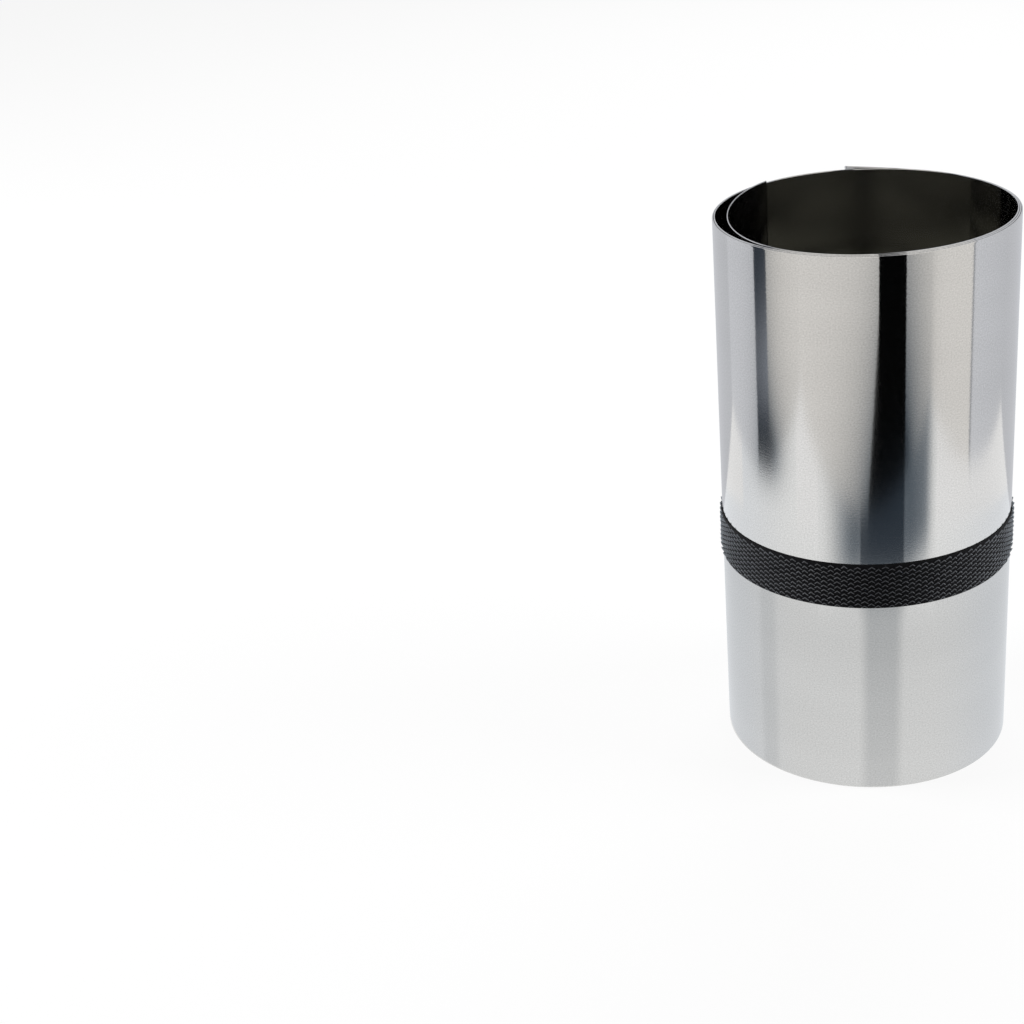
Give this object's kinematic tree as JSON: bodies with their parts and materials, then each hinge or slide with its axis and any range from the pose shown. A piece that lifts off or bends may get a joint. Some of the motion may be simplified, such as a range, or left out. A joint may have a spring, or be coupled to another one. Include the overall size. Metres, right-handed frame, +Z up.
{
  "type": "shim stock roll",
  "caption": "Roll of thin bright metal shim strip standing on its edge, wound loosely with a free inner turn and outer end, held by a black hook-and-loop strap.",
  "frame": {"origin": "on the roll's axis at its foot, which is the middle of its footprint", "axes": "+Z up along the roll's axis, +Y to the back, where the strip's outer end leaves the roll; the picture is taken from about -Y"},
  "size_m": [0.0806, 0.0808, 0.1524],
  "materials": {
    "shim_steel": "bright cold-rolled, mirror-like with fine rolling lines round the roll",
    "strap_fabric": "black hook tape, rows of small hooks outwards"
  },
  "bodies": {
    "root": {"shim_coil": "shim_steel", "strap": "strap_fabric"}
  },
  "joints": []
}
